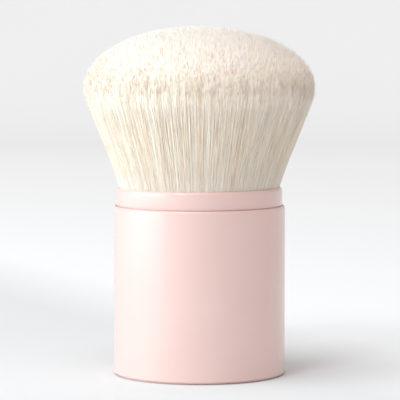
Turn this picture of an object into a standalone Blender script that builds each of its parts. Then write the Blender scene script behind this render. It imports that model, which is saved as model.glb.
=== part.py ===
"""A buffing brush: a domed head of pale fibres in a short, straight, two-part handle.

The bundle of fibres is glued into a cup on a hollow post that stands inside the barrel. A thin sleeve
slides in the ring-shaped space between the post and the barrel. At rest only its collar shows. Drawn up,
it gathers the fibres and covers most of the head.

Lengths are in metres. +Z is up, and the origin is the middle of the base's underside.
"""

import math

import bmesh
import bpy
import numpy as np
from mathutils import Vector

# Overall sizes, as seen from outside, from the base up
BARREL_RADIUS = 0.0200
BARREL_HEIGHT = 0.0393
COLLAR_HEIGHT = 0.0040
FLARE_HEIGHT = 0.0236
DOME_HEIGHT = 0.0142
HEAD_RADIUS = 0.02695

# Fits
SEAT_GAP = 0.0003
RUNNING_GAP = 0.00015
CUT_OVERRUN = 0.001
WELD_DISTANCE = 0.00001

# Walls of the nested tubes, from outside in
SHELL_WALL = 0.0005
SLEEVE_WALL = 0.0008
GUIDE_WALL = 0.00095
POST_WALL = 0.0015
CUP_WALL = 0.0004

# Thicknesses of the stack in the barrel's foot, and how far below the collar's rim the post's flange lies
COVER_FLANGE = 0.0005
COVER_DISC = 0.0008
SCREW_HEAD_HEIGHT = 0.0012
PLATE_THICKNESS = 0.0016
FOOT_THICKNESS = 0.0012
GUIDE_FLANGE = 0.0008
GUIDE_RISE = 0.0017
STOP_DEPTH = 0.0085

# How finely round pieces are turned
SEEN_STEPS = 64
HIDDEN_STEPS = 48
SMALL_STEPS = 16
ARC_STEPS = 4

# Radii that follow, from outside in
BARREL_BORE = BARREL_RADIUS - SHELL_WALL
PLUG_RADIUS = BARREL_BORE - SEAT_GAP
SLEEVE_RADIUS = BARREL_BORE - RUNNING_GAP
SLEEVE_BORE = SLEEVE_RADIUS - SLEEVE_WALL
GUIDE_BORE = SLEEVE_BORE - SEAT_GAP - GUIDE_WALL
POST_RADIUS = GUIDE_BORE - SEAT_GAP
POST_BORE = POST_RADIUS - POST_WALL
CUP_RADIUS = POST_BORE - SEAT_GAP
CUP_BORE = CUP_RADIUS - CUP_WALL
KNOT_RADIUS = CUP_BORE - SEAT_GAP

# Heights that follow, from the base up
PLATE_UNDERSIDE = COVER_DISC + SEAT_GAP + SCREW_HEAD_HEIGHT + SEAT_GAP
PLATE_TOP = PLATE_UNDERSIDE + PLATE_THICKNESS
FOOT_UNDERSIDE = PLATE_TOP + SEAT_GAP
FOOT_TOP = FOOT_UNDERSIDE + FOOT_THICKNESS
GUIDE_UNDERSIDE = FOOT_TOP + SEAT_GAP
GUIDE_SHOULDER = GUIDE_UNDERSIDE + GUIDE_FLANGE
GUIDE_TOP = GUIDE_SHOULDER + GUIDE_RISE
COLLAR_TOP = BARREL_HEIGHT + COLLAR_HEIGHT
HEAD_WIDEST = COLLAR_TOP + FLARE_HEIGHT
STOP_UNDERSIDE = COLLAR_TOP - STOP_DEPTH
SLEEVE_TRAVEL = STOP_UNDERSIDE - SEAT_GAP - GUIDE_TOP


def clear_scene():
    """Remove every object, so that the script builds the same model each time."""
    for found in list(bpy.data.objects):
        bpy.data.objects.remove(found, do_unlink=True)


def new_collection(name):
    """Return a new collection of that name in the scene."""
    made = bpy.data.collections.new(name)
    bpy.context.scene.collection.children.link(made)
    return made


clear_scene()
BRUSH = new_collection("buffing_brush")
CUTTERS = new_collection("cutters")


def material(name, colour, roughness, metallic=0.0):
    """Return a Principled material of that linear colour."""
    made = bpy.data.materials.new(name)
    made.use_nodes = True
    shader = made.node_tree.nodes["Principled BSDF"]
    shader.inputs["Base Color"].default_value = (*colour, 1.0)
    shader.inputs["Roughness"].default_value = roughness
    shader.inputs["Metallic"].default_value = metallic
    return made


PINK_LACQUER = material("pink_lacquer", (0.86, 0.66, 0.62), 0.35)
WHITE_PLASTIC = material("white_plastic", (0.78, 0.77, 0.74), 0.45)
BARE_ALUMINIUM = material("bare_aluminium", (0.80, 0.80, 0.81), 0.30, 1.0)
ZINC_STEEL = material("zinc_steel", (0.60, 0.60, 0.62), 0.35, 1.0)
GREY_SILICONE = material("grey_silicone", (0.30, 0.30, 0.31), 0.60)
AMBER_RESIN = material("amber_resin", (0.55, 0.36, 0.14), 0.25)
PALE_FIBRE = material("pale_fibre", (0.87, 0.80, 0.70), 0.60)


def add_object(name, data, collection=BRUSH):
    """Put a mesh or curve, or None for an empty, in the collection as an object of that name."""
    made = bpy.data.objects.new(name, data)
    collection.objects.link(made)
    return made


def take_primitive(name, collection):
    """Name the primitive that was just added, and move it to the collection."""
    made = bpy.context.object
    made.name = name
    for holder in list(made.users_collection):
        holder.objects.unlink(made)
    collection.objects.link(made)
    return made


def arc(radius, height, size, start, end):
    """Return profile points round (radius, height), from the start angle to the end angle in degrees."""
    turns = np.radians(np.linspace(start, end, ARC_STEPS + 1))
    return [(radius + size * math.cos(turn), height + size * math.sin(turn)) for turn in turns]


def turned(name, profile, steps, closed=False):
    """Turn a profile of (radius, height) points round the Z axis.

    The profile runs down the outer side from its top. An open one starts and ends on the axis, and a
    closed one is the section of a ring.
    """
    mesh = bpy.data.meshes.new(name)
    points = [(radius, 0, height) for radius, height in profile]
    last = len(points) - 1
    edges = [(i, i + 1) for i in range(last)]
    if closed:
        edges.append((last, 0))
    mesh.from_pydata(points, edges, [])
    made = add_object(name, mesh)
    screw = made.modifiers.new("turn", "SCREW")
    screw.axis = "Z"
    screw.steps = steps
    screw.render_steps = steps
    screw.use_merge_vertices = True
    screw.merge_threshold = WELD_DISTANCE
    screw.use_smooth_shade = True
    return made


def boolean(target, other, operation):
    """Cut the target with the other object, or join the other object to it."""
    other.hide_render = True
    other.display_type = "WIRE"
    step = target.modifiers.new(operation.lower(), "BOOLEAN")
    step.operation = operation
    step.solver = "EXACT"
    step.object = other


def upright(name, radius, underside, top, place, steps=SMALL_STEPS):
    """Add an upright cylinder to the cutters, at place (x, y), from its underside to its top."""
    bpy.ops.mesh.primitive_cylinder_add(
        vertices=steps,
        radius=radius,
        depth=top - underside,
        location=(*place, (underside + top) / 2),
    )
    return take_primitive(name, CUTTERS)


def barrel_shell():
    """The handle's outer tube, drawn from thin aluminium, with its mouth rounded off."""
    mouth_round_share = 0.9
    mouth_round = SHELL_WALL * mouth_round_share
    underside = COVER_FLANGE + SEAT_GAP
    profile = [
        (BARREL_BORE, BARREL_HEIGHT),
        *reversed(arc(BARREL_RADIUS - mouth_round, BARREL_HEIGHT - mouth_round, mouth_round, 0, 90)),
        (BARREL_RADIUS, underside),
        (BARREL_BORE, underside),
    ]
    made = turned("barrel_shell", profile, SEEN_STEPS, closed=True)
    made.data.materials.append(PINK_LACQUER)
    return made


def base_cover():
    """The disc that closes the barrel: a thin flange under the tube, and a short collar pressed inside it."""
    edge_round_share = 0.8
    edge_round = COVER_FLANGE * edge_round_share
    collar_wall = 0.0016
    collar_top = PLATE_UNDERSIDE - SEAT_GAP
    collar_bore = PLUG_RADIUS - collar_wall
    profile = [
        (0, COVER_DISC),
        (collar_bore, COVER_DISC),
        (collar_bore, collar_top),
        (PLUG_RADIUS, collar_top),
        (PLUG_RADIUS, COVER_FLANGE),
        (BARREL_RADIUS, COVER_FLANGE),
        *reversed(arc(BARREL_RADIUS - edge_round, edge_round, edge_round, -90, 0)),
        (0, 0),
    ]
    made = turned("base_cover", profile, SEEN_STEPS)
    made.data.materials.append(PINK_LACQUER)
    return made


# The three screws from the base plate up into bosses on the inside of the post
SCREW_COUNT = 3
SHANK_RADIUS = 0.0010
SHANK_LENGTH = 0.0080
BOSS_WALL = 0.0009
BOSS_INSET = 0.0003
HOLE_RADIUS = SHANK_RADIUS + SEAT_GAP
BOSS_RADIUS = HOLE_RADIUS + BOSS_WALL
SCREW_CIRCLE = POST_BORE + BOSS_INSET - BOSS_RADIUS


def screw_places():
    """Return the (x, y) of each screw, spaced evenly round the axis."""
    turns = [2 * math.pi * i / SCREW_COUNT for i in range(SCREW_COUNT)]
    return [(SCREW_CIRCLE * math.cos(turn), SCREW_CIRCLE * math.sin(turn)) for turn in turns]


def base_plate():
    """The plastic plate at the barrel's foot, with a hole for each screw."""
    profile = [
        (0, PLATE_TOP),
        (PLUG_RADIUS, PLATE_TOP),
        (PLUG_RADIUS, PLATE_UNDERSIDE),
        (0, PLATE_UNDERSIDE),
    ]
    made = turned("base_plate", profile, HIDDEN_STEPS)
    low = PLATE_UNDERSIDE - CUT_OVERRUN
    high = PLATE_TOP + CUT_OVERRUN
    for number, place in enumerate(screw_places(), 1):
        boolean(made, upright(f"plate_hole_{number}", HOLE_RADIUS, low, high, place), "DIFFERENCE")
    made.data.materials.append(WHITE_PLASTIC)
    return made


def holder_screw(number, place):
    """One screw: a flat head under the base plate, and a pointed shank up into the post's boss."""
    head_radius = 0.0020
    socket_radius = 0.0009
    socket_depth = 0.0007
    socket_sides = 6
    point_length = SHANK_RADIUS
    head_top = PLATE_UNDERSIDE - SEAT_GAP
    head_underside = head_top - SCREW_HEAD_HEIGHT
    shank_top = head_top + SHANK_LENGTH
    profile = [
        (0, shank_top),
        (SHANK_RADIUS, shank_top - point_length),
        (SHANK_RADIUS, head_top),
        (head_radius, head_top),
        (head_radius, head_underside),
        (0, head_underside),
    ]
    made = turned(f"holder_screw_{number}", profile, SMALL_STEPS)
    made.location = (*place, 0)
    low = head_underside - CUT_OVERRUN
    high = head_underside + socket_depth
    socket = upright(f"screw_socket_{number}", socket_radius, low, high, place, steps=socket_sides)
    boolean(made, socket, "DIFFERENCE")
    made.data.materials.append(ZINC_STEEL)
    return made


def weight_slug():
    """The steel disc glued to the base plate inside the post, between the screw bosses."""
    boss_gap = 0.0004
    slug_height = 0.0060
    edge_cut = 0.0005
    underside = PLATE_TOP + SEAT_GAP
    top = underside + slug_height
    radius = SCREW_CIRCLE - BOSS_RADIUS - boss_gap
    profile = [
        (0, top),
        (radius - edge_cut, top),
        (radius, top - edge_cut),
        (radius, underside),
        (0, underside),
    ]
    made = turned("weight_slug", profile, HIDDEN_STEPS)
    made.data.materials.append(ZINC_STEEL)
    return made


# The post's head: the flange that stops the sleeve, the soft ring in it, and the cup's seat
STOP_THICKNESS = 0.0024
RING_SECTION = 0.0005
CUP_DEPTH = 0.0065
KNOT_SLICE = 0.0020
RING_CENTRE = SLEEVE_BORE - RUNNING_GAP - RING_SECTION
STOP_TOP = STOP_UNDERSIDE + STOP_THICKNESS
STOP_MIDDLE = (STOP_UNDERSIDE + STOP_TOP) / 2
KNOT_TOP = STOP_UNDERSIDE - SEAT_GAP
KNOT_UNDERSIDE = KNOT_TOP - KNOT_SLICE
CUP_UNDERSIDE = KNOT_TOP - CUP_DEPTH


def knot_holder():
    """The moulded post: a foot, a hollow stem, a web that the cup sits on and a flange that stops the sleeve."""
    stop_gap = 0.0004
    groove_gap = 0.00015
    web_thickness = 0.0015
    mouth_width = 0.0007
    boss_height = 0.0090
    stop_radius = SLEEVE_BORE - stop_gap
    groove_floor = RING_CENTRE - RING_SECTION - groove_gap
    groove_half = RING_SECTION + groove_gap
    web_top = CUP_UNDERSIDE - SEAT_GAP
    profile = [
        (0, web_top),
        (POST_BORE, web_top),
        (POST_BORE, STOP_UNDERSIDE + mouth_width),
        (POST_BORE + mouth_width, STOP_TOP),
        (stop_radius, STOP_TOP),
        (stop_radius, STOP_MIDDLE + groove_half),
        (groove_floor, STOP_MIDDLE + groove_half),
        (groove_floor, STOP_MIDDLE - groove_half),
        (stop_radius, STOP_MIDDLE - groove_half),
        (stop_radius, STOP_UNDERSIDE),
        (POST_RADIUS, STOP_UNDERSIDE),
        (POST_RADIUS, FOOT_TOP),
        (PLUG_RADIUS, FOOT_TOP),
        (PLUG_RADIUS, FOOT_UNDERSIDE),
        (POST_BORE, FOOT_UNDERSIDE),
        (POST_BORE, web_top - web_thickness),
        (0, web_top - web_thickness),
    ]
    made = turned("knot_holder", profile, HIDDEN_STEPS)
    boss_top = FOOT_UNDERSIDE + boss_height
    for number, place in enumerate(screw_places(), 1):
        boolean(made, upright(f"boss_{number}", BOSS_RADIUS, FOOT_UNDERSIDE, boss_top, place), "UNION")
    low = FOOT_UNDERSIDE - CUT_OVERRUN
    high = boss_top + CUT_OVERRUN
    for number, place in enumerate(screw_places(), 1):
        boolean(made, upright(f"boss_hole_{number}", HOLE_RADIUS, low, high, place), "DIFFERENCE")
    made.data.materials.append(WHITE_PLASTIC)
    return made


def friction_ring():
    """The soft round-section ring in the flange's groove, which the sleeve rubs on."""
    section_sides = 8
    sharp_angle = math.radians(60)
    bpy.ops.mesh.primitive_torus_add(
        major_radius=RING_CENTRE,
        minor_radius=RING_SECTION,
        major_segments=HIDDEN_STEPS,
        minor_segments=section_sides,
        location=(0, 0, STOP_MIDDLE),
    )
    made = take_primitive("friction_ring", BRUSH)
    made.data.shade_smooth()
    made.data.set_sharp_from_angle(angle=sharp_angle)
    made.data.materials.append(GREY_SILICONE)
    return made


def knot_cup():
    """The thin drawn ferrule cup that stands on the post's web."""
    profile = [
        (0, CUP_UNDERSIDE + CUP_WALL),
        (CUP_BORE, CUP_UNDERSIDE + CUP_WALL),
        (CUP_BORE, KNOT_TOP),
        (CUP_RADIUS, KNOT_TOP),
        (CUP_RADIUS, CUP_UNDERSIDE),
        (0, CUP_UNDERSIDE),
    ]
    made = turned("knot_cup", profile, HIDDEN_STEPS)
    made.data.materials.append(BARE_ALUMINIUM)
    return made


def resin_plug():
    """The glue in the bottom of the cup, under the knot."""
    top = KNOT_UNDERSIDE - SEAT_GAP
    underside = CUP_UNDERSIDE + CUP_WALL + SEAT_GAP
    profile = [(0, top), (KNOT_RADIUS, top), (KNOT_RADIUS, underside), (0, underside)]
    made = turned("resin_plug", profile, HIDDEN_STEPS)
    made.data.materials.append(AMBER_RESIN)
    return made


# The fibres: rings of three-sided strands that fan out from the knot, six more strands in each ring.
# They spread to fill the collar, turn at its rim, and flare evenly above it. Their thickness is a share of
# the rings' spacing at the head's widest, so that none meets its neighbour.
RING_COUNT = 10
STRAND_SIDES = 3
STRAND_SINK = 0.0005
KNOT_MARGIN = 0.00045
TIP_SCATTER = 0.0008
FOOT_SHARE = 0.18
NECK_SHARE = 0.24
BELLY_SHARE = 0.38
TIP_SHARE = 0.16
BELLY_PLACE_SHARE = 0.60
RING_SPACING = HEAD_RADIUS / RING_COUNT
FOOT_RADIUS = RING_SPACING * FOOT_SHARE
NECK_RADIUS = RING_SPACING * NECK_SHARE
BELLY_RADIUS = RING_SPACING * BELLY_SHARE
TIP_RADIUS = RING_SPACING * TIP_SHARE
FAN_FOOT = KNOT_RADIUS - KNOT_MARGIN - FOOT_RADIUS
FAN_NECK = SLEEVE_BORE - SEAT_GAP - NECK_RADIUS
FAN_WIDEST = HEAD_RADIUS - TIP_RADIUS
SPREAD_SHARE = (FAN_NECK - FAN_FOOT) / (COLLAR_TOP - KNOT_TOP)
FLARE_SHARE = (FAN_WIDEST - FAN_NECK) / (HEAD_WIDEST - COLLAR_TOP)


def fan_radius(height):
    """Return how far out the outermost ring of strands runs at that height, below or above the collar's rim."""
    share = FLARE_SHARE if height > COLLAR_TOP else SPREAD_SHARE
    return FAN_NECK + share * (height - COLLAR_TOP)


def core_rings():
    """Return how many rings stay inside the sleeve's bore when the sleeve is drawn right up."""
    room = SLEEVE_BORE - BELLY_RADIUS
    return math.floor(RING_COUNT * room / fan_radius(COLLAR_TOP + SLEEVE_TRAVEL))


def dome_height(ring_share):
    """Return where a strand meets the domed top.

    The dome is half an ellipse over the widest part. The strand is the line on which the radius stays
    this share of the fan's radius, and the two meet at the positive root of a quadratic.
    """
    square = (ring_share * FLARE_SHARE / FAN_WIDEST) ** 2 + 1 / DOME_HEIGHT**2
    middle = 2 * ring_share**2 * FLARE_SHARE / FAN_WIDEST
    rest = ring_share**2 - 1
    root = (math.sqrt(middle**2 - 4 * square * rest) - middle) / (2 * square)
    return HEAD_WIDEST + root


def strand_lines(first, last):
    """Yield the foot, neck, belly and tip of each strand from ring first to ring last, as vectors."""
    scatter = np.random.default_rng(7)
    golden_turn = math.pi * (3 - math.sqrt(5))
    foot = KNOT_TOP - STRAND_SINK
    for ring in range(first, last + 1):
        share = ring / RING_COUNT
        count = max(1, 6 * ring)
        for number in range(count):
            turn = 2 * math.pi * number / count + golden_turn * ring
            drop = TIP_SCATTER * scatter.random() * min(ring, 1)
            tip = dome_height(share) - drop
            outward = Vector((math.cos(turn), math.sin(turn), 0)) * share
            belly = COLLAR_TOP + (tip - COLLAR_TOP) * BELLY_PLACE_SHARE
            heights = (foot, COLLAR_TOP, belly, tip)
            yield [outward * fan_radius(height) + Vector((0, 0, height)) for height in heights]


def strand_section():
    """Return the strands' cross-section, a flat polygon of radius 1 that each point's radius scales."""
    curve = bpy.data.curves.new("strand_section", "CURVE")
    outline = curve.splines.new("POLY")
    outline.points.add(STRAND_SIDES - 1)
    for number, point in enumerate(outline.points):
        turn = 2 * math.pi * number / STRAND_SIDES
        point.co = (math.cos(turn), math.sin(turn), 0, 1)
    outline.use_cyclic_u = True
    return add_object("strand_section", curve, CUTTERS)


def strand_mesh(name, first, last):
    """Return the strands from ring first to ring last as one mesh object among the cutters."""
    section = strand_section()
    curve = bpy.data.curves.new(name, "CURVE")
    curve.dimensions = "3D"
    curve.bevel_mode = "OBJECT"
    curve.bevel_object = section
    curve.use_fill_caps = True
    radii = (FOOT_RADIUS, NECK_RADIUS, BELLY_RADIUS, TIP_RADIUS)
    for line in strand_lines(first, last):
        spline = curve.splines.new("POLY")
        spline.points.add(len(line) - 1)
        for point, place, radius in zip(spline.points, line, radii):
            point.co = (*place, 1)
            point.radius = radius
    laid = add_object(name + "_curve", curve, CUTTERS)
    mesh = bpy.data.meshes.new_from_object(laid.evaluated_get(bpy.context.evaluated_depsgraph_get()))
    for used in (laid, section):
        bpy.data.objects.remove(used, do_unlink=True)
    welded = bmesh.new()
    welded.from_mesh(mesh)
    bmesh.ops.remove_doubles(welded, verts=welded.verts, dist=WELD_DISTANCE)
    bmesh.ops.recalc_face_normals(welded, faces=welded.faces)
    welded.to_mesh(mesh)
    welded.free()
    return add_object(name, mesh, CUTTERS)


def knot_edge(height):
    """Return the radius halfway between the core's last ring and the skirt's first, at that height."""
    return fan_radius(height) * (core_rings() + 1 / 2) / RING_COUNT


def tuft_core():
    """The inner fibres, which stay inside the sleeve's bore, on their slice of the glued knot."""
    profile = [
        (0, KNOT_TOP),
        (knot_edge(KNOT_TOP) - SEAT_GAP / 2, KNOT_TOP),
        (knot_edge(KNOT_UNDERSIDE) - SEAT_GAP / 2, KNOT_UNDERSIDE),
        (0, KNOT_UNDERSIDE),
    ]
    made = turned("tuft_core", profile, HIDDEN_STEPS)
    boolean(made, strand_mesh("core_strands", 0, core_rings()), "UNION")
    made.data.materials.append(PALE_FIBRE)
    return made


def tuft_skirt():
    """The outer fibres, which the sleeve gathers, on their ring of the glued knot."""
    profile = [
        (knot_edge(KNOT_TOP) + SEAT_GAP / 2, KNOT_TOP),
        (KNOT_RADIUS, KNOT_TOP),
        (KNOT_RADIUS, KNOT_UNDERSIDE),
        (knot_edge(KNOT_UNDERSIDE) + SEAT_GAP / 2, KNOT_UNDERSIDE),
    ]
    made = turned("tuft_skirt", profile, HIDDEN_STEPS, closed=True)
    boolean(made, strand_mesh("skirt_strands", core_rings() + 1, RING_COUNT), "UNION")
    made.data.materials.append(PALE_FIBRE)
    return made


def sliding_sleeve():
    """The thin tube that draws up over the fibres. Its full-round lip is the collar that shows at rest."""
    lip = SLEEVE_WALL / 2
    underside = GUIDE_SHOULDER + SEAT_GAP
    profile = [
        *reversed(arc(SLEEVE_RADIUS - lip, COLLAR_TOP - lip, lip, 0, 180)),
        (SLEEVE_RADIUS, underside),
        (SLEEVE_BORE, underside),
    ]
    made = turned("sliding_sleeve", profile, SEEN_STEPS, closed=True)
    made.data.materials.append(PINK_LACQUER)
    return made


def sleeve_guide_ring():
    """The plastic ring pressed into the sleeve's foot. It runs on the post and meets the post's flange."""
    spigot = GUIDE_BORE + GUIDE_WALL
    profile = [
        (GUIDE_BORE, GUIDE_TOP),
        (spigot, GUIDE_TOP),
        (spigot, GUIDE_SHOULDER),
        (SLEEVE_RADIUS, GUIDE_SHOULDER),
        (SLEEVE_RADIUS, GUIDE_UNDERSIDE),
        (GUIDE_BORE, GUIDE_UNDERSIDE),
    ]
    made = turned("sleeve_guide_ring", profile, SEEN_STEPS, closed=True)
    made.data.materials.append(WHITE_PLASTIC)
    return made


def fixed_handle():
    """Build what stands still: the barrel, the post in it and the head of fibres."""
    handle = add_object("handle", None)
    pieces = [
        barrel_shell(),
        base_cover(),
        base_plate(),
        *(holder_screw(number, place) for number, place in enumerate(screw_places(), 1)),
        weight_slug(),
        knot_holder(),
        friction_ring(),
        knot_cup(),
        resin_plug(),
        tuft_core(),
        tuft_skirt(),
    ]
    for piece in pieces:
        piece.parent = handle


def collar_slide():
    """Hang the sleeve and its ring on the sliding axis, from the foot up to the post's flange."""
    slide = add_object("collar_slide", None)
    stop = slide.constraints.new("LIMIT_LOCATION")
    stop.use_min_z = True
    stop.use_max_z = True
    stop.min_z = 0
    stop.max_z = SLEEVE_TRAVEL
    for piece in (sliding_sleeve(), sleeve_guide_ring()):
        piece.parent = slide


fixed_handle()
collar_slide()
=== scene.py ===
"""A buffing brush: a domed head of pale synthetic fibres in a short, satin pink, two-part handle.

The sections follow the brush as it is put together, from the base up. Lengths are in metres, and +Z is up.
"""

import math

import bpy
import numpy as np
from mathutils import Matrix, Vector


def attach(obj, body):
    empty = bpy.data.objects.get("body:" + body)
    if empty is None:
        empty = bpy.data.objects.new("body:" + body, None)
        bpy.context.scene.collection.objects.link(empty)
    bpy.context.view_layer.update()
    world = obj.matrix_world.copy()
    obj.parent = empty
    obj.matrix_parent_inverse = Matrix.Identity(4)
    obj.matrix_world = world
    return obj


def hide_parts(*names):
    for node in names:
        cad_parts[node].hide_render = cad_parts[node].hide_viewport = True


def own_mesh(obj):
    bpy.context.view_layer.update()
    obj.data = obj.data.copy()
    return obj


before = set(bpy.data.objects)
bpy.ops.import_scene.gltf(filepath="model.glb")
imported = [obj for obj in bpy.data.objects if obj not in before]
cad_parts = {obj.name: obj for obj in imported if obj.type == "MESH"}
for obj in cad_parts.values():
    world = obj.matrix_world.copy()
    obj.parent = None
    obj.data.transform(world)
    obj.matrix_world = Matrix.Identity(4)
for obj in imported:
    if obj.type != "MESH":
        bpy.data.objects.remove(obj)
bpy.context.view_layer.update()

# The camera
# A long lens a little over half a metre away, at about the height of the brush's top. It looks down on the
# brush by a few degrees.
VIEWPOINT = Vector((0.0, -0.576, 0.0846))
AIM = Vector((0.00014, 0.0, 0.0406))
FOCAL_LENGTH = 222.8
SENSOR_WIDTH = 36.0
lens = bpy.data.cameras.new("camera")
lens.lens = FOCAL_LENGTH
lens.sensor_width = SENSOR_WIDTH
camera = bpy.data.objects.new("camera", lens)
camera.location = VIEWPOINT
camera.rotation_euler = (AIM - VIEWPOINT).to_track_quat("-Z", "Y").to_euler()
bpy.context.scene.collection.objects.link(camera)
bpy.context.scene.camera = camera

# The base cover
# A pressed and lacquered disc that closes the barrel underneath. Its thin flange shows as a fine line at
# the barrel's foot, and overhangs its flat underside a little. Its spigot is pressed into the tube.
TURN_STEPS = 192
EDGE_ANGLE = math.radians(40)


def bend(radius, height, size, start, end, steps=8, tall=1.0):
    """Points on an arc round (radius, height): centre + size (cos t, tall sin t), with t in degrees."""
    turns = np.radians(np.linspace(start, end, steps + 1))
    return np.column_stack((radius + size * np.cos(turns), height + tall * size * np.sin(turns)))


def turned(name, *parts):
    """A surface of revolution: profile point (r, h) at turn t lies at (r cos t, r sin t, h).

    The profile runs up the outer side. One that starts off the axis is a ring's section, and its end joins
    its start. Where one starts or ends on the axis, that ring of points is a single point.
    """
    profile = np.vstack([np.atleast_2d(part) for part in parts])
    turns = np.arange(TURN_STEPS) * (2 * math.pi / TURN_STEPS)
    circle = np.stack((np.cos(turns), np.sin(turns)), axis=-1)
    points = np.empty((len(profile), TURN_STEPS, 3))
    points[:, :, :2] = profile[:, None, :1] * circle
    points[:, :, 2] = profile[:, 1:]
    index = np.arange(len(profile) * TURN_STEPS).reshape(len(profile), TURN_STEPS)
    on_axis = profile[:, 0] == 0
    index[on_axis] = index[on_axis, :1]
    if not on_axis[0]:
        index = np.vstack((index, index[:1]))
    low, high = index[:-1], index[1:]
    quads = np.stack((low, np.roll(low, -1, 1), np.roll(high, -1, 1), high), axis=-1)
    fans = np.empty((0, 3), int)
    if on_axis[0]:
        fans = quads[0][:, [0, 2, 3]]
        quads = quads[1:]
    if on_axis[-1]:
        fans = np.vstack((fans, quads[-1][:, :3]))
        quads = quads[:-1]
    used, corners = np.unique(np.concatenate((quads.ravel(), fans.ravel())), return_inverse=True)
    faces = corners[: quads.size].reshape(-1, 4).tolist() + corners[quads.size :].reshape(-1, 3).tolist()
    mesh = bpy.data.meshes.new(name)
    mesh.from_pydata(points.reshape(-1, 3)[used].tolist(), [], faces)
    mesh.shade_smooth()
    mesh.set_sharp_from_angle(angle=EDGE_ANGLE)
    made = bpy.data.objects.new(name, mesh)
    bpy.context.scene.collection.objects.link(made)
    return made


class Finish:
    """A Principled material under construction, with short ways to add and join its nodes."""

    def __init__(self, name, roughness=0.5, metallic=0.0, specular=0.5):
        self.material = bpy.data.materials.new(name)
        self.material.use_nodes = True
        self.tree = self.material.node_tree
        self.shader = self.tree.nodes["Principled BSDF"]
        self.shader.inputs["Roughness"].default_value = roughness
        self.shader.inputs["Metallic"].default_value = metallic
        self.shader.inputs["Specular IOR Level"].default_value = specular
        self.place = self.node("ShaderNodeTexCoord").outputs["Object"]

    def node(self, kind, **settings):
        """A new node of that kind, with those settings."""
        made = self.tree.nodes.new(kind)
        for key, value in settings.items():
            setattr(made, key, value)
        return made

    def join(self, source, target):
        """Links one node's output to another's input."""
        self.tree.links.new(source, target)

    def noise(self, scale, detail=2.0, stretch=(1.0, 1.0, 1.0)):
        """Fractal noise from 0 to 1 on the material's place, drawn out along an axis by a factor below 1."""
        mapping = self.node("ShaderNodeMapping")
        mapping.inputs["Scale"].default_value = stretch
        self.join(self.place, mapping.inputs["Vector"])
        made = self.node("ShaderNodeTexNoise")
        made.inputs["Scale"].default_value = scale
        made.inputs["Detail"].default_value = detail
        self.join(mapping.outputs["Vector"], made.inputs["Vector"])
        return made.outputs["Fac"]

    def ramp(self, factor, *stops):
        """A colour or grey ramp through stops of (place, value)."""
        made = self.node("ShaderNodeValToRGB")
        elements = made.color_ramp.elements
        while len(elements) < len(stops):
            elements.new(0.5)
        for element, (place, value) in zip(elements, stops):
            element.position = place
            element.color = (value, value, value, 1.0) if isinstance(value, float) else (*value, 1.0)
        self.join(factor, made.inputs["Fac"])
        return made.outputs["Color"]

    def relief(self, height, distance):
        """Bump on the shader, of that many metres from the height's 0 to its 1."""
        bump = self.node("ShaderNodeBump")
        bump.inputs["Distance"].default_value = distance
        self.join(height, bump.inputs["Height"])
        self.join(bump.outputs["Normal"], self.shader.inputs["Normal"])

    def colour(self, factor, *stops):
        """The base colour, from a ramp through those stops."""
        self.join(self.ramp(factor, *stops), self.shader.inputs["Base Color"])

    def polish(self, factor, *stops):
        """The roughness, from a ramp through those stops."""
        self.join(self.ramp(factor, *stops), self.shader.inputs["Roughness"])


def lacquer(name):
    """Satin pink lacquer: an even colour with faint clouding, a clear coat, and a sprayed coat's ripple."""
    made = Finish(name)
    made.shader.inputs["Coat Weight"].default_value = 0.8
    made.shader.inputs["Coat Roughness"].default_value = 0.15
    clouds = made.noise(90.0, 3.0)
    made.colour(clouds, (0.30, (0.806, 0.574, 0.538)), (0.70, (0.824, 0.597, 0.560)))
    made.polish(made.noise(700.0, 2.0), (0.30, 0.38), (0.70, 0.46))
    made.relief(made.noise(1600.0, 2.0), 0.000004)
    return made.material


PINK_METAL = lacquer("pink_lacquer_metal")
BARREL_RADIUS = 0.0200
FOOT_RADIUS = 0.01925
FOOT_GAP = 0.00030
FOOT_ROUND = 0.00030
FLANGE_TOP = 0.00055
SPIGOT_RADIUS = 0.0192
SPIGOT_BORE = 0.0176
SPIGOT_TOP = 0.0023
DISC_TOP = 0.0008
cover = turned(
    "base_cover_disc",
    (0.0, 0.0),
    (FOOT_RADIUS, 0.0),
    (FOOT_RADIUS, FOOT_GAP),
    bend(BARREL_RADIUS - FOOT_ROUND, FOOT_GAP + FOOT_ROUND, FOOT_ROUND, -90, -12),
    (SPIGOT_RADIUS, FLANGE_TOP),
    (SPIGOT_RADIUS, SPIGOT_TOP),
    (SPIGOT_BORE, SPIGOT_TOP),
    (SPIGOT_BORE, DISC_TOP),
    (0.0, DISC_TOP),
)
cover.data.materials.append(lacquer("pink_lacquer_cover"))
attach(cover, "handle")
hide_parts("base_cover")

# The base plate, the post and the guide ring
# Three plain mouldings in white plastic: the plate in the barrel's foot, the hollow post that is screwed
# to it, and the ring at the sleeve's foot that runs on the post.
white = Finish("white_plastic")
white.colour(white.noise(120.0, 3.0), (0.3, (0.765, 0.755, 0.725)), (0.7, (0.795, 0.785, 0.755)))
white.polish(white.noise(900.0), (0.3, 0.40), (0.7, 0.50))
white.relief(white.noise(4000.0, 3.0), 0.000006)
for name in ("base_plate", "knot_holder", "sleeve_guide_ring"):
    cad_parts[name].material_slots[0].material = white.material

# The screws and the weight
# Zinc-plated steel: three socket screws from the plate into the post, and the disc glued in between
# them, which keeps the short, top-heavy brush standing.
zinc = Finish("zinc_steel", metallic=1.0)
zinc.colour(zinc.noise(500.0, 4.0), (0.3, (0.56, 0.56, 0.58)), (0.7, (0.66, 0.66, 0.67)))
zinc.polish(zinc.noise(1500.0, 3.0), (0.3, 0.28), (0.7, 0.44))
zinc.relief(zinc.noise(2500.0, 2.0), 0.000004)
for name in ("holder_screw_1", "holder_screw_2", "holder_screw_3", "weight_slug"):
    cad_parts[name].material_slots[0].material = zinc.material

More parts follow.
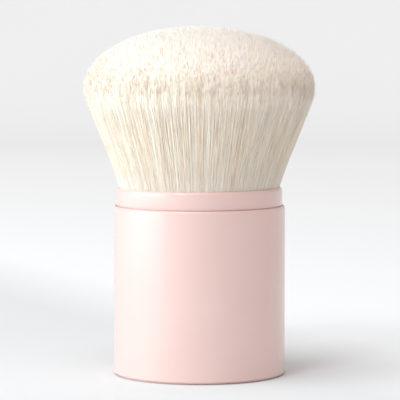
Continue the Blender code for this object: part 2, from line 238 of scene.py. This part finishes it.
# The friction ring
# A soft grey silicone ring in the groove of the post's flange. The sleeve rubs on it and stays where it
# is left.
silicone = Finish("grey_silicone")
silicone.colour(silicone.noise(300.0, 3.0), (0.3, (0.27, 0.27, 0.28)), (0.7, (0.33, 0.33, 0.34)))
silicone.polish(silicone.noise(1200.0), (0.3, 0.54), (0.7, 0.66))
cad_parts["friction_ring"].material_slots[0].material = silicone.material

# The knot cup and its resin
# A thin cup drawn from aluminium stands on the post's web and holds the bundle. The fibres are cast into
# it with amber resin, which fills its bottom.
aluminium = Finish("bare_aluminium", metallic=1.0)
drawn = aluminium.noise(300.0, 2.0, stretch=(1.0, 1.0, 12.0))
aluminium.colour(drawn, (0.3, (0.76, 0.76, 0.77)), (0.7, (0.84, 0.84, 0.85)))
aluminium.polish(drawn, (0.3, 0.24), (0.7, 0.36))
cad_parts["knot_cup"].material_slots[0].material = aluminium.material
resin = Finish("amber_resin")
resin.colour(resin.noise(250.0, 3.0), (0.3, (0.50, 0.32, 0.12)), (0.7, (0.60, 0.40, 0.17)))
resin.polish(resin.noise(900.0), (0.3, 0.18), (0.7, 0.28))
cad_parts["resin_plug"].material_slots[0].material = resin.material

# The fibres' packed middle
# The bundle stands in the cup, and deep in the head its fibres lie so close that they are one mass, combed
# into small locks. The mass ends just under the tips, where the separate strands take over.
LIP = 0.0433
LIP_RADIUS = 0.01846
FLARE = 0.39
WIDEST = 0.0669
HEAD_RADIUS = 0.02695
DOME = 0.0142
HEART_SHARE = 0.47
SKIN_SHARE = 0.986
RIM_SHARE = 0.998
RIM_FILLED = 0.0475
FOLD = 0.0630
CROWN = 0.0802
SINK = 0.0004
MASS_FOOT = 0.0330
MASS_ROUND = 0.0003
MASS_RADIUS = 0.0141
MASS_STRAIGHT = 0.0345
PACK_FOOT = 0.0400
SHELF_DROP = 0.0002
SHELF_SHARE = 0.95
SIDE_ROWS = 12
TOP_ROWS = 40
RIDGE = 0.00003
LOCK_WAVES = 40
LOCKS_LEAST = 170
LOCKS_MOST = 560
LOCK_DRIFT = 5.0
LOCKS_CLEAR_TOP = 0.0660
# Painted light: the fibres are painted paler towards the tips, where they catch more light, and by the
# collar's rim, lifting its shade.
PAINTED_LIGHT_FOOT = 0.0575
PAINTED_LIGHT_TOP = 0.0800
RIM_PAINTED_LIGHT = 0.4
RIM_PAINTED_LIGHT_TOP = 0.0500
chance = np.random.default_rng(seed=11)


def fan(height):
    """The fibre bundle's outer radius at a height: LIP_RADIUS + FLARE x the height over the collar's rim."""
    return LIP_RADIUS + FLARE * (height - LIP)


def dome_height(share):
    """The height at which a strand at that share of the fan reaches the head's outline.

    The dome is half an ellipse, and the strand is the line radius = share x fan(height). They meet at the
    positive root of a quadratic. A strand that is already outside the ellipse there ends lower down, where
    its radius is the head's.
    """
    wide = fan(WIDEST)
    square = (share * FLARE / HEAD_RADIUS) ** 2 + 1 / DOME**2
    middle = share**2 * wide * FLARE / HEAD_RADIUS**2
    rest = (share * wide / HEAD_RADIUS) ** 2 - 1
    root = (np.sqrt(np.maximum(middle**2 - square * rest, 0.0)) - middle) / square
    side = (HEAD_RADIUS / np.maximum(share, 0.5) - wide) / FLARE
    return WIDEST + np.where(rest < 0, root, side)


def fan_line(share, heights):
    """Profile points up the line that stays at that share of the fan's radius."""
    return np.column_stack((share * fan(heights), heights))


def crown_height(share):
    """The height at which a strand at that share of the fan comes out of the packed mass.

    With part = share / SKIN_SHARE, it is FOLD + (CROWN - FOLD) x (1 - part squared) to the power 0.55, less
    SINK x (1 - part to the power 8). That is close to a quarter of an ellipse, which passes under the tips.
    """
    part = np.minimum(share / SKIN_SHARE, 1.0)
    return FOLD + (CROWN - FOLD) * (1 - part**2) ** 0.55 - SINK * (1 - part**8)


def skin_share(height):
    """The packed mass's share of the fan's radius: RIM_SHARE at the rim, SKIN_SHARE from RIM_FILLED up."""
    near_rim = np.clip((RIM_FILLED - height) / (RIM_FILLED - LIP), 0.0, 1.0)
    return SKIN_SHARE + (RIM_SHARE - SKIN_SHARE) * near_rim


def bundle(points):
    """A point's place in the bundle: its direction from the axis, as long as SKIN_SHARE, and its height.

    The height is counted in the head's radius. All along one fibre of the flare the direction is the same.
    """
    radius = np.maximum(np.linalg.norm(points[..., :2], axis=-1, keepdims=True), 1e-6)
    return np.concatenate((SKIN_SHARE * points[..., :2] / radius, points[..., 2:] / HEAD_RADIUS), axis=-1)


wave_count = np.round(LOCKS_LEAST * (LOCKS_MOST / LOCKS_LEAST) ** chance.random(LOCK_WAVES))
wave_start = chance.uniform(0, 2 * math.pi, LOCK_WAVES)
wave_drift = chance.normal(0.0, LOCK_DRIFT, LOCK_WAVES)
wave_size = wave_count**-0.5
wave_size /= math.sqrt((wave_size**2).sum() / 2)


def lock_height(place):
    """How far the locks stand out at a place in the bundle, from -1 in a parting to 1 on a lock.

    It is a sum of waves round the head, each of a chance whole number to the turn. Each drifts a little
    with the height, so the locks waver, join and part. A soft limit keeps the sum within 1.
    """
    turn = np.arctan2(place[..., 1], place[..., 0])
    total = np.zeros(turn.shape)
    for number, drift, start, size in zip(wave_count, wave_drift, wave_start, wave_size):
        total += size * np.cos(number * turn + drift * place[..., 2] + start)
    return np.tanh(0.9 * total)


def combed(points, share):
    """A grid of surface points, moved along its normals by RIDGE x the locks' height x the row's share.

    Each row of the grid has a share from 0 to 1, so that hidden parts stay plain.
    """
    normal = np.cross(np.gradient(points, axis=1), np.gradient(points, axis=0))
    length = np.linalg.norm(normal, axis=-1, keepdims=True)
    normal = np.where(length > 1e-14, normal / np.maximum(length, 1e-14), (0.0, 0.0, 1.0))
    step = RIDGE * share[:, None] * lock_height(bundle(points))
    return points + step[..., None] * normal


def clearness(height):
    """How clearly the locks show: fully on the flare, and not above the fold, where the tips hide them."""
    return np.clip((LOCKS_CLEAR_TOP - height) / (LOCKS_CLEAR_TOP - FOLD), 0.0, 1.0)


def painted_light_share(height):
    """How much light is painted on the fibres at a height: more towards the tips, and a little by the
    collar's rim to lift its shade.
    """
    tips = np.clip((height - PAINTED_LIGHT_FOOT) / (PAINTED_LIGHT_TOP - PAINTED_LIGHT_FOOT), 0.0, 1.0)
    return tips + RIM_PAINTED_LIGHT * np.clip((RIM_PAINTED_LIGHT_TOP - height) / (RIM_PAINTED_LIGHT_TOP - LIP), 0.0, 1.0)


def mark_bundle(mesh):
    """Stores each point's place in the bundle, the locks' height, their clearness and the painted light
    there.

    The locks' height gives the painted shade in the partings and the painted light on the crests.
    """
    place = np.empty(len(mesh.vertices) * 3, np.float32)
    mesh.vertices.foreach_get("co", place)
    place = place.reshape(-1, 3)
    clear = clearness(place[:, 2])
    pale = painted_light_share(place[:, 2])
    place = bundle(place)
    mesh.attributes.new("bundle", "FLOAT_VECTOR", "POINT").data.foreach_set("vector", place.ravel())
    # Painted shade and light: 0 in a parting, 1 on a lock's crest.
    painted_lock_shade = 0.5 + 0.5 * lock_height(place)
    for name, value in (("painted_lock_shade", painted_lock_shade), ("clear", clear), ("pale", pale)):
        numbers = value.astype(np.float32)
        mesh.attributes.new(name, "FLOAT", "POINT").data.foreach_set("value", numbers)


# The fibres' colours by tone: the first table deep in the head, the second with light painted on towards the
# tips and at the rim.
WARM = ((0.860, 0.675, 0.500), (0.998, 0.907, 0.765), (0.999, 0.970, 0.892))
PAINTED_LIGHT_PALE = ((0.905, 0.820, 0.725), (0.992, 0.966, 0.926), (0.999, 0.994, 0.976))
FINE_SHARE = 0.65
EVEN_TONE = 0.46


def fibre_colour(finish, tone, places):
    """The fibres' colour by tone, in three steps at those places, with light painted on towards the tips and
    rim.
    """
    pale = finish.node("ShaderNodeAttribute", attribute_name="pale").outputs["Fac"]
    mix = finish.node("ShaderNodeMix", data_type="RGBA")
    finish.join(pale, mix.inputs["Factor"])
    finish.join(finish.ramp(tone, *zip(places, WARM)), mix.inputs["A"])
    finish.join(finish.ramp(tone, *zip(places, PAINTED_LIGHT_PALE)), mix.inputs["B"])
    finish.join(mix.outputs["Result"], finish.shader.inputs["Base Color"])


packed = Finish("packed_fibre", roughness=0.6, specular=0.3)
packed.place = packed.node("ShaderNodeAttribute", attribute_name="bundle").outputs["Vector"]
# Painted shade: where the locks show, the skin is darker in their partings and lighter on their crests.
painted_lock_shade = packed.node("ShaderNodeAttribute", attribute_name="painted_lock_shade").outputs["Fac"]
clear = packed.node("ShaderNodeAttribute", attribute_name="clear").outputs["Fac"]
fine = packed.noise(110.0, 2.0, stretch=(1.0, 1.0, 0.035))
locks = packed.node("ShaderNodeMix", data_type="FLOAT")
locks.inputs["Factor"].default_value = FINE_SHARE
packed.join(painted_lock_shade, locks.inputs["A"])
packed.join(fine, locks.inputs["B"])
shown = packed.node("ShaderNodeMix", data_type="FLOAT")
packed.join(clear, shown.inputs["Factor"])
shown.inputs["A"].default_value = EVEN_TONE
packed.join(locks.outputs["Result"], shown.inputs["B"])
fibre_colour(packed, shown.outputs["Result"], (0.34, 0.50, 0.66))
packed.relief(fine, 0.00002)
shelf = PACK_FOOT - SHELF_DROP
heart_side = np.linspace(shelf, float(crown_height(HEART_SHARE)), SIDE_ROWS)[:-1]
over = np.linspace(HEART_SHARE, 0.0, TOP_ROWS)
mass = turned(
    "tuft_mass",
    (0.0, MASS_FOOT),
    bend(MASS_RADIUS - MASS_ROUND, MASS_FOOT + MASS_ROUND, MASS_ROUND, -90, 0, 3),
    (MASS_RADIUS, MASS_STRAIGHT),
    (SHELF_SHARE * fan(shelf), shelf),
    fan_line(HEART_SHARE, heart_side),
    fan_line(over, crown_height(over)),
)
mark_bundle(mass.data)
mass.data.materials.append(packed.material)
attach(mass, "handle")
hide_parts("tuft_core")

# The skirt's packed sectors
# The outer fibres round that middle, in equal sectors, each one mass up to just under the tips. The
# sleeve gathers the skirt from all sides as it rises, so each sector flattens towards the axis.
SECTORS = 16
SECTOR_TURN = 2 * math.pi / SECTORS
SECTOR_STEPS = 140
SECTOR_EDGE_ANGLE = math.radians(70)
SKIN_ROWS = 32
CROWN_ROWS = 40
INSIDE_ROWS = 6


def sector_body(name, profile, share, start):
    """A ring's section swept round one sector: point (r, h) at turn t lies at (r cos t, r sin t, h).

    The profile runs up the outer side and closes, and each of its points is combed by its share. Each end
    is closed by one flat face.
    """
    turns = start + SECTOR_TURN * np.linspace(0.0, 1.0, SECTOR_STEPS + 1)
    points = np.empty((len(profile), len(turns), 3))
    points[:, :, 0] = profile[:, :1] * np.cos(turns)
    points[:, :, 1] = profile[:, :1] * np.sin(turns)
    points[:, :, 2] = profile[:, 1:]
    points = combed(points, share)
    low = np.arange(points.shape[0] * points.shape[1]).reshape(points.shape[:2])
    high = np.roll(low, -1, 0)
    quads = np.stack((low[:, :-1], low[:, 1:], high[:, 1:], high[:, :-1]), axis=-1)
    ends = [low[:, 0].tolist(), low[::-1, -1].tolist()]
    mesh = bpy.data.meshes.new(name)
    mesh.from_pydata(points.reshape(-1, 3).tolist(), [], quads.reshape(-1, 4).tolist() + ends)
    mesh.shade_smooth()
    mesh.set_sharp_from_angle(angle=SECTOR_EDGE_ANGLE)
    made = bpy.data.objects.new(name, mesh)
    bpy.context.scene.collection.objects.link(made)
    return made


def gather(piece):
    """Sets a piece on the handle, in place of the skirt, with a mesh of its own."""
    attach(piece, "handle")
    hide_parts("tuft_skirt")
    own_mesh(piece)


climb = np.linspace(PACK_FOOT, FOLD, SKIN_ROWS)[:-1]
skin = fan_line(skin_share(climb), climb)
fold_end = math.acos(HEART_SHARE / SKIN_SHARE)
crown_share = SKIN_SHARE * np.cos(np.linspace(0.0, fold_end, CROWN_ROWS))
crown = fan_line(crown_share, crown_height(crown_share))
inside = fan_line(HEART_SHARE, np.linspace(crown[-1, 1], PACK_FOOT, INSIDE_ROWS)[1:])
section = np.vstack((skin, crown, inside))
show = np.zeros(len(section))
show[: len(skin)] = np.clip((skin[:, 1] - PACK_FOOT) / (LIP - PACK_FOOT), 0.0, 1.0)
show[len(skin) : len(skin) + len(crown)] = clearness(crown[:, 1])
for sector in range(SECTORS):
    body = sector_body(f"tuft_pack_{sector + 1:02d}", section, show, sector * SECTOR_TURN)
    mark_bundle(body.data)
    body.data.materials.append(packed.material)
    gather(body)

# The strands
# Tapered synthetic fibres. The outer ones run the whole way from the collar to the tips and lie on the
# locks. Of the inner ones only the upper ends show, which stand loose over the crown of the packed mass.
HEART_PIECES = 4
FOOT_MAP = ((0.1, 0.0), (0.5, 0.0), (0.3, 0.02))
CELL_MARGIN = 0.10
fibre = Finish("pale_fibre", roughness=0.55, specular=0.25)
strand_tone = fibre.node("ShaderNodeAttribute", attribute_name="tone").outputs["Fac"]
fibre_colour(fibre, strand_tone, (0.0, 0.45, 1.0))


def strand_set(centre, along, radius, tone):
    """The points, corners, map and values of many three-sided strands, as arrays.

    A strand's rings of three points lie flat round its middle: corner k is at middle + radius (cos, sin)
    of a chance turn + k thirds of a turn. Its last ring is one point, the tip. A triangle closes its foot.
    In the map each strand has a cell of its own, three times as tall as it is wide, with a margin.
    """
    count, rings = centre.shape[:2]
    body = rings - 1
    turns = chance.uniform(0, 2 * math.pi, (count, 1)) + np.arange(3) * (2 * math.pi / 3)
    ring = np.stack((np.cos(turns), np.sin(turns), np.zeros_like(turns)), axis=-1)
    side = centre[:, :body, None, :] + radius[:, :body, None, None] * ring[:, None, :, :]
    points = np.concatenate((side.reshape(count, body * 3, 3), centre[:, -1:, :]), axis=1)
    faces, maps = [(0, 2, 1)], [FOOT_MAP]
    for level in range(body - 1):
        low, high = along[level], along[level + 1]
        for k in range(3):
            a, b = level * 3 + k, level * 3 + (k + 1) % 3
            left, right = k / 3, (k + 1) / 3
            faces += [(a, b, b + 3), (a, b + 3, a + 3)]
            maps += [((left, low), (right, low), (right, high)), ((left, low), (right, high), (left, high))]
    for k in range(3):
        a, b = (body - 1) * 3 + k, (body - 1) * 3 + (k + 1) % 3
        low = along[body - 1]
        faces.append((a, b, body * 3))
        maps.append(((k / 3, low), ((k + 1) / 3, low), ((k + 0.5) / 3, 1.0)))
    corners = np.arange(count)[:, None, None] * points.shape[1] + np.array(faces)
    across = math.ceil(math.sqrt(count * 3))
    down = math.ceil(count / across)
    cell = np.stack((np.arange(count) % across, np.arange(count) // across), axis=-1)
    inner = CELL_MARGIN + (1 - 2 * CELL_MARGIN) * np.array(maps)
    spots = (cell[:, None, None, :] + inner) / (across, down)
    # Each point carries the light painted on it, towards the tips and at the rim, and its strand's tone.
    return {
        "points": points.reshape(-1, 3),
        "corners": corners.reshape(-1, 3),
        "spots": spots.reshape(-1, 2),
        "pale": painted_light_share(points[..., 2].ravel()),
        "tone": np.repeat(tone, points.shape[1]),
    }


def strand_object(name, *sets):
    """One piece of those sets of strands. In the map each set has an upright band of its own."""
    starts = np.cumsum([0] + [len(one["points"]) for one in sets])
    corners = np.concatenate([one["corners"] + start for one, start in zip(sets, starts)])
    bands = [(one["spots"] + (number, 0)) / (len(sets), 1) for number, one in enumerate(sets)]
    mesh = bpy.data.meshes.new(name)
    mesh.vertices.add(int(starts[-1]))
    mesh.loops.add(corners.size)
    mesh.polygons.add(len(corners))
    points = np.concatenate([one["points"] for one in sets])
    mesh.vertices.foreach_set("co", points.astype(np.float32).ravel())
    mesh.loops.foreach_set("vertex_index", corners.astype(np.int32).ravel())
    mesh.polygons.foreach_set("loop_start", np.arange(0, corners.size, 3, dtype=np.int32))
    spots = np.concatenate(bands).astype(np.float32)
    mesh.uv_layers.new(name="OFBake").data.foreach_set("uv", spots.ravel())
    mesh.update(calc_edges=True)
    mesh.shade_smooth()
    # The painted light and the tone, which holds the locks' painted shade, go on as attributes.
    for value in ("pale", "tone"):
        numbers = np.concatenate([one[value] for one in sets]).astype(np.float32)
        mesh.attributes.new(value, "FLOAT", "POINT").data.foreach_set("value", numbers)
    made = bpy.data.objects.new(name, mesh)
    made.data.materials.append(fibre.material)
    bpy.context.scene.collection.objects.link(made)
    return made


FLARE_STRANDS = 2400
RINGS = 14
REACH = 0.74
REACH_POWER = 1.5
LEAN_POWER = 1.8
FLARE_TIP_OVER = 0.0003
FLARE_TIP_SPREAD = 0.0018
FLARE_TIP_POWER = 1.5
DRIFT = 0.028
SWING_TURN = 0.004
SWING_OUT = 0.00003
SWING_LENGTH = 0.014
PROUD_LEAST = -0.00003
PROUD_MOST = 0.00008
WISPS = 3
WISP_OUT = 0.0004
WISP_LONGER = 0.0015
WISP_RADIUS = 0.02735
FLARE_TAPER = ((0.0, 0.5, 0.85, 1.0), (0.000042, 0.000052, 0.000052, 0.0))
FLARE_UNEVEN = 0.3
FLARE_TONE = 0.55
PAINTED_LOCK_SHADE = 0.25
FLARE_TONE_SPREAD = 0.29


def outer_strands(sector):
    """Whole strands over a sector's skin, from inside the collar to the tips.

    A strand follows the skin with its locks, at a chance depth near the surface. Its turn round the axis
    drifts and swings slowly as it rises, so strands cross a little and dip in and out of the skin. From the
    fold on its share of the fan falls faster and faster, to a chance share at the tip, between REACH and
    the skin's. A few wisps stand off a little and end at about the head's widest part. A strand's tone has
    painted shade: darker in the locks' partings and lighter on their crests, with chance on top.
    """
    count = FLARE_STRANDS // SECTORS
    turn = (sector + (np.arange(count) + chance.random(count)) / count) * SECTOR_TURN
    reach = SKIN_SHARE - (SKIN_SHARE - REACH) * chance.random(count) ** REACH_POWER
    tip = dome_height(reach) + FLARE_TIP_OVER - FLARE_TIP_SPREAD * chance.random(count) ** FLARE_TIP_POWER
    wisp = np.zeros(count)
    wisp[chance.integers(0, count, WISPS)] = 1.0
    reach = np.where(wisp > 0, SKIN_SHARE, reach)
    wisp_tip = dome_height(SKIN_SHARE) + chance.uniform(0.0, WISP_LONGER, count)
    tip = np.where(wisp > 0, wisp_tip, tip)
    along = np.linspace(0.0, 1.0, RINGS)
    height = PACK_FOOT + (tip - PACK_FOOT)[:, None] * along
    free = np.clip((height - LIP) / (WIDEST - LIP), 0.0, 1.0)
    drift = chance.normal(0.0, DRIFT, (count, 1))
    swing = np.sin(chance.uniform(0, 2 * math.pi, (count, 1)) + height * (2 * math.pi / SWING_LENGTH))
    turns = turn[:, None] + drift * free + SWING_TURN * swing * free
    flat = np.stack((np.cos(turns), np.sin(turns)), axis=-1)
    skin_at = np.concatenate((flat * SKIN_SHARE, height[:, :, None] / HEAD_RADIUS), axis=-1)
    proud = chance.uniform(PROUD_LEAST, PROUD_MOST, (count, 1)) + SWING_OUT * swing * free
    lean = np.clip((height - FOLD) / (tip - FOLD)[:, None], 0.0, 1.0) ** LEAN_POWER
    share = skin_share(height) - (SKIN_SHARE - reach)[:, None] * lean
    radius = share * fan(height) + RIDGE * lock_height(skin_at) * free + proud
    radius = np.minimum(radius + WISP_OUT * (wisp[:, None] * free) ** 2, WISP_RADIUS)
    centre = np.concatenate((radius[:, :, None] * flat, height[:, :, None]), axis=-1)
    # Painted shade: strands in the locks' partings are darker, and those on the crests lighter.
    lock = lock_height(skin_at)[:, RINGS // 2]
    shade = FLARE_TONE + PAINTED_LOCK_SHADE * lock + chance.normal(0.0, FLARE_TONE_SPREAD, count)
    uneven = chance.uniform(1 - FLARE_UNEVEN, 1 + FLARE_UNEVEN, (count, 1))
    return strand_set(centre, along, np.interp(along, *FLARE_TAPER) * uneven, np.clip(shade, 0, 1))


DOME_STRANDS = 12000
CLUMPS = 2000
DOME_TIP_OVER = 0.0004
MIDDLE_TIP_DROP = 0.0003
RIM_TIP_DROP = 0.0010
TIP_DROP_POWER = 1.4
CLUMP_DEPTH_SHARE = 0.25
ROOT_DEPTH = 0.0006
LOOSENESS = 0.05
DOME_STEPS = np.array([0.0, 0.4, 0.8, 1.0])
DOME_TAPER = np.array([1.0, 1.0, 0.8, 0.0])
DOME_UNEVEN = 0.25
GROWTH_SHARES = (0.3, 0.9)
DOME_THICKNESS = (0.000048, 0.000062)
DOME_TONE = 0.58
DOME_TONE_SPREAD = (0.08, 0.50)
OWN_TONE = 0.8


def dome_strands(members):
    """The upper ends of the inner strands: tapered pieces along the fan's lines, from crown to tip.

    A strand leans off its line by a chance slope. Its tip ends under the outline by a chance depth, which
    grows with the share to the power 3. Its thickness and the spread of its tone grow evenly between the
    two GROWTH_SHARES. Strands of one clump have part of their tone and of the tips' depth in common.
    """
    count = len(members)
    share = dome_share[members]
    level = crown_height(share)
    clump = dome_clump[members]
    depth = (1 - CLUMP_DEPTH_SHARE) * chance.random(count) + CLUMP_DEPTH_SHARE * clump_depth[clump]
    drop = (MIDDLE_TIP_DROP + RIM_TIP_DROP * share**3) * depth**TIP_DROP_POWER
    tip = dome_height(share) + DOME_TIP_OVER - drop
    height = (level - ROOT_DEPTH)[:, None] + (tip - level + ROOT_DEPTH)[:, None] * DOME_STEPS
    lean = chance.normal(0.0, LOOSENESS, (count, 1, 2)) * (height - level[:, None])[:, :, None]
    disc = dome_xy[members][:, None, :] * fan(height)[:, :, None] + lean
    centre = np.concatenate((disc, height[:, :, None]), axis=-1)
    thickness = DOME_TAPER * np.interp(share, GROWTH_SHARES, DOME_THICKNESS)[:, None]
    spread = np.interp(share, GROWTH_SHARES, DOME_TONE_SPREAD)
    shade = DOME_TONE + spread * (clump_tone[clump] + OWN_TONE * chance.normal(0.0, 1.0, count))
    uneven = chance.uniform(1 - DOME_UNEVEN, 1 + DOME_UNEVEN, (count, 1))
    return strand_set(centre, DOME_STEPS, thickness * uneven, np.clip(shade, 0, 1))


GOLDEN_TURN = math.pi * (3 - math.sqrt(5))
SOWN_EDGE = 0.975
SOWN_POWER = 0.47
SHIFT = 0.5
CLUMPED = 0.3


def sown(count):
    """Places over the head in shares of the fan, on the golden spiral and shifted by chance.

    Place n of N lies at the turn n x the golden angle, at the share SOWN_EDGE x ((n + 0.5) / N) to the
    SOWN_POWER. A power of 0.5 would sow evenly, and a lower one sows more thickly towards the rim.
    """
    number = np.arange(count)
    share = ((number + 0.5) / count) ** SOWN_POWER * SOWN_EDGE
    places = share[:, None] * np.stack((np.cos(number * GOLDEN_TURN), np.sin(number * GOLDEN_TURN)), axis=-1)
    return places + chance.normal(0.0, SHIFT * math.sqrt(math.pi / count), (count, 2))


dome_xy = sown(DOME_STRANDS)
clump_xy = sown(CLUMPS)
clump_tone = chance.normal(0.0, 1.0, CLUMPS)
clump_depth = chance.random(CLUMPS)
dome_clump = ((dome_xy[:, None, :] - clump_xy) ** 2).sum(axis=-1).argmin(axis=1)
dome_xy += CLUMPED * (clump_xy[dome_clump] - dome_xy)
dome_share = np.linalg.norm(dome_xy, axis=-1)
dome_turn = np.arctan2(dome_xy[:, 1], dome_xy[:, 0]) / (2 * math.pi)
dome_sector = np.floor(dome_turn * SECTORS).astype(int) % SECTORS
quarter = dome_sector * HEART_PIECES // SECTORS
for number in range(HEART_PIECES):
    heart = strand_object(
        f"tuft_heart_{number + 1}",
        dome_strands(np.flatnonzero((dome_share <= HEART_SHARE) & (quarter == number))),
    )
    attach(heart, "handle")
    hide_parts("tuft_core")
in_skirt = (dome_share > HEART_SHARE) & (dome_share < SOWN_EDGE)
for sector in range(SECTORS):
    members = np.flatnonzero((dome_sector == sector) & in_skirt)
    skirt = strand_object(f"tuft_skirt_{sector + 1:02d}", outer_strands(sector), dome_strands(members))
    gather(skirt)

# The barrel
# A straight tube drawn from thin aluminium and lacquered. Its mouth is rounded off, and its foot stands
# just over the base cover's flange, which leaves a fine seam.
BARREL_BORE = 0.0195
BARREL_TOP = 0.03945
BARREL_FOOT = 0.00057
FOOT_INNER = 0.0001
MOUTH_ROUND = 0.00042
MOUTH_DROP = 0.0006
MOUTH_TALL = 1.43
MOUTH_INNER = 0.00008
barrel = turned(
    "barrel_tube",
    bend(BARREL_BORE + FOOT_INNER, BARREL_FOOT + FOOT_INNER, FOOT_INNER, 180, 270, 3),
    bend(BARREL_RADIUS - FOOT_ROUND, FOOT_GAP + FOOT_ROUND, FOOT_ROUND, -6, 0, 2),
    bend(BARREL_RADIUS - MOUTH_ROUND, BARREL_TOP - MOUTH_DROP, MOUTH_ROUND, 0, 90, tall=MOUTH_TALL),
    bend(BARREL_BORE + MOUTH_INNER, BARREL_TOP - MOUTH_INNER, MOUTH_INNER, 90, 180, 3),
)
barrel.data.materials.append(PINK_METAL)
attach(barrel, "handle")
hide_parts("barrel_shell")

# The sliding sleeve
# A thin lacquered tube between the barrel and the post. Only its collar shows. Its rim is rolled to a
# full round, and the fibres press against it. A fine groove lies level with the barrel's mouth at rest.
SLEEVE_RADIUS = 0.01935
SLEEVE_BORE = 0.01855
SLEEVE_FOOT = 0.0071
RIM_TOP = LIP + 0.00045
RIM_ROUND = 0.00068
RIM_DROP = 0.00078
RIM_TALL = 1.15
RIM_INNER = 0.00012
GROOVE_LOW = BARREL_TOP - 0.00010
GROOVE_HIGH = BARREL_TOP + 0.00016
GROOVE_RADIUS = SLEEVE_RADIUS - 0.00018
GROOVE_ROUND = 0.00005
sleeve = turned(
    "sleeve_tube",
    (SLEEVE_BORE, SLEEVE_FOOT),
    (SLEEVE_RADIUS, SLEEVE_FOOT),
    (SLEEVE_RADIUS, GROOVE_LOW),
    (GROOVE_RADIUS, GROOVE_LOW),
    (GROOVE_RADIUS, GROOVE_HIGH),
    bend(SLEEVE_RADIUS - GROOVE_ROUND, GROOVE_HIGH + GROOVE_ROUND, GROOVE_ROUND, -90, 0, 3),
    bend(SLEEVE_RADIUS - RIM_ROUND, RIM_TOP - RIM_DROP, RIM_ROUND, 0, 90, 12, tall=RIM_TALL),
    bend(SLEEVE_BORE + RIM_INNER, RIM_TOP - RIM_INNER, RIM_INNER, 90, 180, 4),
)
sleeve.data.materials.append(PINK_METAL)
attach(sleeve, "sleeve")
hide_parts("sliding_sleeve")

# The studio
# White paper that curves up into a wall all round. To the camera and in reflections it looks paler far off,
# and towards the right it has painted light over the brush's shadow and where the key falls off. The light
# that it spreads on the brush is even. A wide lamp stands low on the left, a small one in front and a weak
# one above, under a pale sky.
FLOOR_RINGS = (0.0, 0.2, 0.5, 0.8)
WALL_START = 1.0
WALL_DEPTH = 0.5
WALL_HEIGHT = 0.25
WALL_ROWS = 12
RIGHT_AND_BACK = (1.0, 0.5, 0.0)
LIFT_AWAY = (0.10, 0.80, 1.055, 1.29)
PAINTED_LIGHT_RIGHT = (0.02, 0.07, 1.0, 1.21)
part_way = np.linspace(0.0, 1.0, WALL_ROWS)
backdrop = turned(
    "backdrop",
    [(radius, 0.0) for radius in FLOOR_RINGS],
    np.column_stack((WALL_START + WALL_DEPTH * part_way, WALL_HEIGHT * part_way**2)),
)
paper = Finish("seamless_paper")
matt = paper.node("ShaderNodeBsdfDiffuse")
tint = paper.ramp(paper.noise(6.0, 2.0), (0.3, (0.724, 0.775, 0.800)), (0.7, (0.732, 0.783, 0.808)))
ray = paper.node("ShaderNodeLightPath").outputs
seen = ray["Is Camera Ray"]
for kind in ("Is Glossy Ray", "Is Transmission Ray"):
    either = paper.node("ShaderNodeMath", operation="MAXIMUM")
    paper.join(seen, either.inputs[0])
    paper.join(ray[kind], either.inputs[1])
    seen = either.outputs[0]
lifted = paper.node("ShaderNodeMix", data_type="RGBA", blend_type="MULTIPLY", clamp_result=False)
away = paper.node("ShaderNodeVectorMath", operation="LENGTH")
paper.join(paper.place, away.inputs[0])
# Painted light: towards the right, the paper's camera colour is lifted over the brush's shadow and the key's
# fall-off.
right = paper.node("ShaderNodeVectorMath", operation="DOT_PRODUCT")
right.inputs[1].default_value = RIGHT_AND_BACK
paper.join(paper.place, right.inputs[0])
lift = paper.node("ShaderNodeMath", operation="MULTIPLY")
for socket, source, values in ((0, away, LIFT_AWAY), (1, right, PAINTED_LIGHT_RIGHT)):
    step = paper.node("ShaderNodeMapRange")
    for name, value in zip(("From Min", "From Max", "To Min", "To Max"), values):
        step.inputs[name].default_value = value
    paper.join(source.outputs["Value"], step.inputs["Value"])
    paper.join(step.outputs["Result"], lift.inputs[socket])
paper.join(lift.outputs["Value"], lifted.inputs["B"])
paper.join(seen, lifted.inputs["Factor"])
paper.join(tint, lifted.inputs["A"])
paper.join(lifted.outputs["Result"], matt.inputs["Color"])
surface = paper.node("ShaderNodeOutputMaterial", is_active_output=True).inputs["Surface"]
paper.join(matt.outputs["BSDF"], surface)
backdrop.data.materials.append(paper.material)


def lamp(name, place, aim, size, power, colour=(1.0, 1.0, 1.0)):
    """Sets up a rectangular soft light of that many watts, turned to the aim's height on the axis."""
    data = bpy.data.lights.new(name, "AREA")
    data.shape = "RECTANGLE"
    data.size, data.size_y = size
    data.energy = power
    data.color = colour
    made = bpy.data.objects.new(name, data)
    made.location = place
    made.rotation_euler = (Vector((0.0, 0.0, aim)) - Vector(place)).to_track_quat("-Z", "Y").to_euler()
    bpy.context.scene.collection.objects.link(made)


lamp("key", place=(-0.86, -0.24, 0.24), aim=0.045, size=(0.90, 0.45), power=6.2, colour=(0.96, 1.05, 1.07))
lamp("front", place=(-0.30, -0.54, 0.62), aim=0.045, size=(0.25, 0.25), power=1.5)
lamp("above", place=(-0.12, -0.20, 0.85), aim=0.06, size=(0.6, 0.6), power=1.7)
world = bpy.data.worlds.new("studio")
world.use_nodes = True
sky = world.node_tree.nodes["Background"]
sky.inputs["Color"].default_value = (1.03, 0.93, 0.895, 1.0)
sky.inputs["Strength"].default_value = 0.62
bpy.context.scene.world = world
bpy.context.scene.view_settings.view_transform = "Standard"
